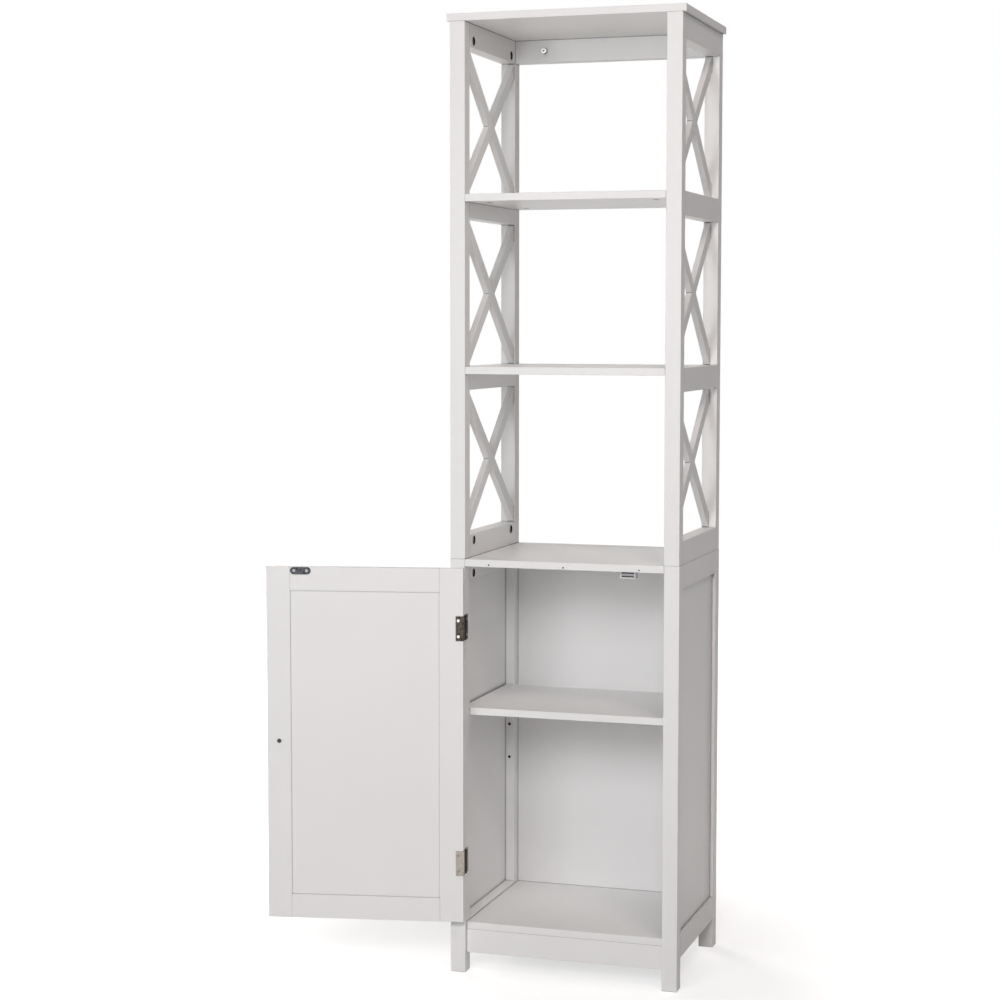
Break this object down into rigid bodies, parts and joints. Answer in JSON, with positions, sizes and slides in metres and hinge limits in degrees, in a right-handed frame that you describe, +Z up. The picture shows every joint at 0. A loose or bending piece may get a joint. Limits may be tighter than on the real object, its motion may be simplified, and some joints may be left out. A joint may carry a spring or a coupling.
{
  "type": "tall bathroom cabinet",
  "caption": "Tall narrow white cabinet: an open shelf tower with crossed side braces over a cupboard with a framed door, standing on square legs.",
  "frame": {"origin": "on the floor, in the middle of the rectangle that the posts and legs cover", "axes": "+X to the cabinet's right as seen from its front, +Y to its back, +Z up"},
  "size_m": [0.6763, 0.3771, 1.555],
  "materials": {
    "painted_board": "satin white lacquer over board",
    "panel_board": "satin white lacquer over thin board",
    "steel": "zinc-plated, satin",
    "nickel": "satin nickel plate",
    "dark_lock": "black, matt",
    "dark_steel": "dark bronze, satin",
    "dark_plastic": "matt",
    "white_plastic": "matt",
    "beech": "bare beech"
  },
  "bodies": {
    "cabinet": {"back_panel": "panel_board", "back_panel_nails": "steel", "cabinet_hinge_leaves": "nickel", "cabinet_hinge_screws": "nickel", "cam_bolts": "steel", "cam_locks": "dark_lock", "catch_housing": "dark_plastic", "catch_magnet": "steel", "catch_screws": "steel", "floor_board": "painted_board", "frame_dowels": "beech", "front_apron": "painted_board", "high_shelf": "painted_board", "hinge_pins": "steel", "left_high_brace": "painted_board", "left_low_brace": "painted_board", "left_middle_brace": "painted_board", "left_side_panel": "panel_board", "low_shelf": "painted_board", "lower_left_back_leg": "painted_board", "lower_left_base_rail": "painted_board", "lower_left_front_leg": "painted_board", "lower_left_top_rail": "painted_board", "lower_right_back_leg": "painted_board", "lower_right_base_rail": "painted_board", "lower_right_front_leg": "painted_board", "lower_right_top_rail": "painted_board", "middle_board": "painted_board", "right_high_brace": "painted_board", "right_low_brace": "painted_board", "right_middle_brace": "painted_board", "right_side_panel": "panel_board", "shelf_pins": "steel", "top_board": "painted_board", "upper_left_back_post": "painted_board", "upper_left_base_rail": "painted_board", "upper_left_front_post": "painted_board", "upper_left_high_rail": "painted_board", "upper_left_low_rail": "painted_board", "upper_left_top_rail": "painted_board", "upper_right_back_post": "painted_board", "upper_right_base_rail": "painted_board", "upper_right_front_post": "painted_board", "upper_right_high_rail": "painted_board", "upper_right_low_rail": "painted_board", "upper_right_top_rail": "painted_board", "wall_bushes": "white_plastic", "wall_rail": "painted_board"},
    "door": {"door_hinge_stile": "painted_board", "door_latch_stile": "painted_board", "door_top_rail": "painted_board", "door_bottom_rail": "painted_board", "door_panel": "panel_board", "door_knob": "nickel", "knob_screw": "dark_steel", "strike_plate": "dark_steel", "strike_screws": "dark_steel", "door_hinge_leaves": "nickel", "door_hinge_screws": "nickel"},
    "shelf": {"inner_shelf": "painted_board"}
  },
  "joints": [
    {"name": "door_hinge", "type": "hinge", "parent": "cabinet", "child": "door", "pos_m": [-0.1638, -0.149, 0.37935], "axis": [0, 0, 1], "range_deg": [-11.5, 168.5]},
    {"name": "loose_shelf_lift", "type": "slide", "parent": "cabinet", "child": "shelf", "axis": [0, 0, 1], "range_m": [0, 0.2]}
  ]
}
